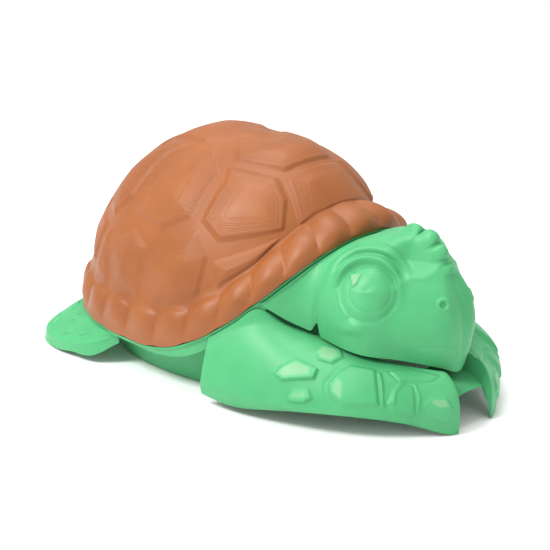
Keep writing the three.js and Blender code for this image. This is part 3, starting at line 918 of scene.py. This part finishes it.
def face_relief(p, t, v):
    """Height of brow edge, muzzle, nostril and mouth over the plain head."""
    along, up = t * HEAD_UNIT, v * HEAD_UNIT
    # the brow edge runs from the eye's front corner to the middle, over a flatter muzzle
    brow = line_distance(along, up, [(c * HEAD_UNIT, d * HEAD_UNIT) for c, d in BROW])
    brow_v = np.interp(t, *np.array(BROW).T)
    front = smooth(0.30, 0.24, t)
    high = 2.0 * hump(brow, 0, 8) * front * smooth(0.02, 0.1, t)
    high += -2.2 * front * smooth(0.0, 0.13, brow_v - v) * smooth(0.05, 0.16, v)
    high += -3.0 * smooth(0.3, 0.12, t) * hump(v, 0.54, 0.15)
    high += 2.0 * smooth(0.2, 0.08, t) * hump(v, 0.2, 0.09)
    nostril = head_surface(np.array([[NOSTRIL[0]]]), np.array([[NOSTRIL[1]]]))
    d = np.linalg.norm(p - nostril, axis=2)
    high += 3.6 * hump(d, 12, 5) - 9.0 * hump(d, 0, 6.0)
    # mouth line and lower lip
    high += -0.9 * hump(line_distance(along, up, LIP), 0, 2.6)
    high += 0.8 * hump(up, 34, 12) * smooth(0.34, 0.1, t)
    return high


def crest_relief(p):
    """Height of the scales along the middle of the head."""
    x, y, z = p[..., 0], p[..., 1], p[..., 2]
    crest = np.zeros(x.shape)
    for centre_y, centre_z, reach, height in CREST:
        d = np.hypot(y - centre_y, z - centre_z)
        crest = np.maximum(crest, height * np.sqrt(np.clip(1 - (d / reach) ** 2, 0, 1)))
    swell = 3.0 * hump(x, 0, 26) * smooth(-330, -420, y) * smooth(330, 380, z)
    return crest * hump(x, 0, 17) + swell


def both_halves(half):
    """The +X half of a grid with its mirror image before it, sharing the middle column."""
    return np.concatenate([(half * MIRROR)[:, :0:-1], half], 1)


def build_head():
    columns, rows = 300, 230
    t = np.linspace(0, 1, columns)[None, :]
    v = np.linspace(0, 1, rows)[:, None]
    t, v = np.broadcast_arrays(t, v)
    side = head_surface(t, v)
    n = grid_normals(side)
    high, from_eye, glint = eye_relief(side, n)
    high = high + face_relief(side, t, v) + crest_relief(side)
    fade = smooth(0, 0.02, v) * (1 - smooth(0.9, 1, t))
    outer = side + n * (high * fade)[..., None]
    inner = side.copy()
    # notch between the cheek and the cowl, and the crease that runs up from it
    lift = NOTCH_LIFT * hump(t, NOTCH, 0.016) * (1 - smooth(0, 0.16, v)) * (1 - v)
    crease = hump(t, NOTCH + 0.05 * v, 0.014) * (1 - smooth(0.12, 0.4, v))
    for grid, depth in ((outer, 5.0), (inner, 7.0)):
        grid[..., 2] += lift
        grid -= n * (depth * crease)[..., None]
    # the wall is thicker over the low edge, and under the eye's relief
    thick = WALL + 2.5 * smooth(30, 90, v * HEAD_UNIT)
    thick = thick + 6.0 * smooth(95, 60, from_eye) * (n[..., 0] > 0)
    inner -= n * thick[..., None]
    inner[:, 0, 0] = 0
    outer[:, 0, 0] = 0
    # painted highlight: the eye's glint is also painted lighter in the material
    painted_highlight = np.concatenate([glint[:, :0:-1], glint], 1)
    screwed = tabs(both_sides([(4, 26), (1, 26)]))
    obj = shell("head_shell", both_halves(outer), both_halves(inner), tag=("painted_highlight", painted_highlight),
                extra=screwed)
    soft_edge(obj, EDGE_BEVEL)
    dress(obj, GREEN, "base", "head")


# ---------------------------------------------------------------- rear flippers
# Low edge and brow of the left one, from its front corner round the tip to its rear corner
FLIPPER_LOW = [
    (352, 262, 62), (392, 322, 22), (402, 392, 16), (400, 455, 6), (384, 520, 4),
    (352, 556, 12), (306, 538, 40), (250, 498, 60),
]
FLIPPER_BROW = [
    (352, 262, 84), (389, 322, 56), (398, 392, 36), (395, 455, 28), (379, 517, 26),
    (349, 551, 36), (304, 532, 66), (252, 494, 84),
]


# Raised scales, as for the front flippers
FLIPPER_SCALES = [
    ([(0.73, 0.74), (0.76, 0.86), (0.83, 0.85), (0.84, 0.73), (0.79, 0.68)], 3, 6, 5),
    ([(0.62, 0.38), (0.66, 0.50), (0.74, 0.48), (0.75, 0.36), (0.69, 0.31)], 3, 6, 5),
    ([(0.20, 0.56), (0.24, 0.66), (0.31, 0.65), (0.32, 0.54), (0.26, 0.48)], 3, 5, 5),
    ([(0.37, 0.47), (0.41, 0.60), (0.49, 0.60), (0.50, 0.46), (0.43, 0.40)], 3, 6, 5),
    ([(0.47, 0.74), (0.51, 0.85), (0.58, 0.83), (0.59, 0.71), (0.53, 0.66)], 3, 5, 5),
]


def flipper_surface(u, v):
    """Outside of the left flipper: u along its edge, v from the low edge to the root."""
    low = through(FLIPPER_LOW, u)
    brow = through(FLIPPER_BROW, u)
    top = rim_point(mix(101, 145, u), SKIRT_INSET - 4, -8)
    w = np.clip((v - 0.25) / 0.75, 0, 1)
    skirt = mix(low, brow, np.clip(v / 0.25, 0, 1)[..., None])
    crown = mix(brow, top, w[..., None])
    p = np.where((v < 0.25)[..., None], skirt, crown)
    p[..., 2] += 7 * np.sin(PI * w)
    return p


def build_flippers():
    u = np.linspace(0, 1, 150)[None, :]
    v = np.linspace(0, 1, 110)[:, None]
    u, v = np.broadcast_arrays(u, v)
    base = flipper_surface(u, v)
    n = grid_normals(base)
    high = scale_relief(flipper_surface, base, FLIPPER_SCALES, [])
    high += 2.0 * hump(v, 0.27, 0.05)
    fade = smooth(0, 0.06, v) * (1 - smooth(0.94, 1, v))
    fade = fade * smooth(0, 0.06, u) * (1 - smooth(0.94, 1, u))
    outer = base + n * (high * fade)[..., None]
    inner = base - n * WALL
    inner[..., 2] = np.maximum(inner[..., 2], 0.5)
    facets = [(15, 15), (17, 15)]
    for name, sign in (("left", 1), ("right", -1)):
        flip = np.array([sign, 1, 1])
        screwed = tabs(facets if sign > 0 else other_side(facets), 0.012)
        obj = shell(f"rear_flipper_{name}_shell", outer * flip, inner * flip, extra=screwed)
        soft_edge(obj, EDGE_BEVEL)
        dress(obj, GREEN, "base", f"rear_flipper_{name}")


build_cover()
build_tub()
build_apron()
build_head()
build_flippers()

# the screws keep their CAD shape
for name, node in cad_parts.items():
    if name.startswith("screw_"):
        node.data.materials.clear()
        node.data.materials.append(STEEL)

# ---------------------------------------------------------------- floor, light, camera
FLOOR_SIZE = 60
# Camera at the photograph's viewing angle
CAMERA_PLACE = (-3.0476, -2.9903, 1.775)
CAMERA_AHEAD = (0.6645, 0.6645, -0.3420)
CAMERA_LENS = 117.8


def build_floor():
    bm = bmesh.new()
    bmesh.ops.create_grid(bm, x_segments=8, y_segments=8, size=FLOOR_SIZE / 2)
    floor = finish_mesh("floor", bm, 60)
    mat, nodes, links, bsdf = new_material("pale_floor")
    coords = nodes.new("ShaderNodeTexCoord").outputs["Object"]
    tone = noise(nodes, links, coords, 1.5)
    colour = ramp(nodes, links, tone, [(0.2, grey(0.93)), (0.8, grey(0.95))])
    links.new(colour, bsdf.inputs["Base Color"])
    bsdf.inputs["Roughness"].default_value = 0.9
    bsdf.inputs["Specular IOR Level"].default_value = 0.1
    floor.data.materials.append(mat)
    floor.location = (0, 0, -0.001)


def area_light(name, place, target, size, power):
    data = bpy.data.lights.new(name, "AREA")
    data.shape = "DISK"
    data.size = size
    data.energy = power
    lamp = bpy.data.objects.new(name, data)
    lamp.location = place
    lamp.rotation_mode = "QUATERNION"
    lamp.rotation_quaternion = (Vector(target) - Vector(place)).to_track_quat("-Z", "Y")
    bpy.context.scene.collection.objects.link(lamp)


build_floor()
area_light("key", (-2.9, 0.6, 3.4), (0, 0, 0.2), 1.4, 165)
area_light("top", (0.2, 0.6, 4.2), (0, 0, 0.2), 3.0, 130)
area_light("fill", (-1.2, -4.6, 1.8), (0, 0, 0.25), 3.0, 24)

world = bpy.data.worlds.new("studio")
world.use_nodes = True
world.node_tree.nodes["Background"].inputs["Color"].default_value = (1, 1, 1, 1)
world.node_tree.nodes["Background"].inputs["Strength"].default_value = 0.82
bpy.context.scene.world = world

scene = bpy.context.scene
scene.view_settings.view_transform = "Standard"
scene.view_settings.look = "None"

camera_data = bpy.data.cameras.new("camera")
camera_data.lens = CAMERA_LENS
camera_data.sensor_width = 36
camera_data.clip_end = 100
camera = bpy.data.objects.new("camera", camera_data)
camera.location = CAMERA_PLACE
camera.rotation_mode = "QUATERNION"
camera.rotation_quaternion = Vector(CAMERA_AHEAD).to_track_quat("-Z", "Y")
scene.collection.objects.link(camera)
scene.camera = camera
